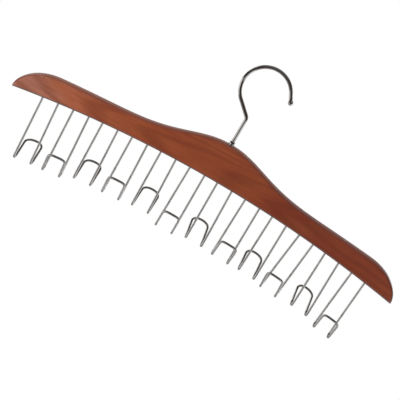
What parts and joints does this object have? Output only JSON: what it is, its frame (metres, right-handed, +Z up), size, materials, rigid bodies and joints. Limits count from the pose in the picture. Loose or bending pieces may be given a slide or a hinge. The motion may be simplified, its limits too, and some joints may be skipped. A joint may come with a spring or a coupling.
{
  "type": "belt hanger",
  "caption": "Belt hanger: an arched, lacquered wooden bar under a swivelling wire hook with a ball tip, and bent-wire belt hooks that face the back and the front by turns.",
  "frame": {"origin": "the rail seat: the highest point inside the eye of the swivel hook, in the middle of the wire's thickness", "axes": "+X along the bar, to the right in the picture and towards the hook's open side; +Y from the front to the back; +Z up"},
  "size_m": [0.4442, 0.0356, 0.2203],
  "materials": {
    "cherry_lacquer": "reddish-brown satin lacquer",
    "polished_chrome": "bright chrome plate on steel wire",
    "zinc_plate": "zinc-plated steel"
  },
  "bodies": {
    "hook": {"swivel_hook": "polished_chrome", "retaining_washer": "zinc_plate", "retaining_nut": "zinc_plate"},
    "hanger": {"wood_bar": "cherry_lacquer", "hook_bushing": "polished_chrome", "belt_hook_01": "polished_chrome", "belt_hook_02": "polished_chrome", "belt_hook_03": "polished_chrome", "belt_hook_04": "polished_chrome", "belt_hook_05": "polished_chrome", "belt_hook_06": "polished_chrome", "belt_hook_07": "polished_chrome", "belt_hook_08": "polished_chrome", "belt_hook_09": "polished_chrome", "belt_hook_10": "polished_chrome", "belt_hook_11": "polished_chrome", "belt_hook_12": "polished_chrome"}
  },
  "joints": [
    {"name": "hook_swivel", "type": "hinge", "parent": "hook", "child": "hanger", "pos_m": [-0.003, 0, -0.0863], "axis": [0, 0, 1], "continuous": true}
  ]
}
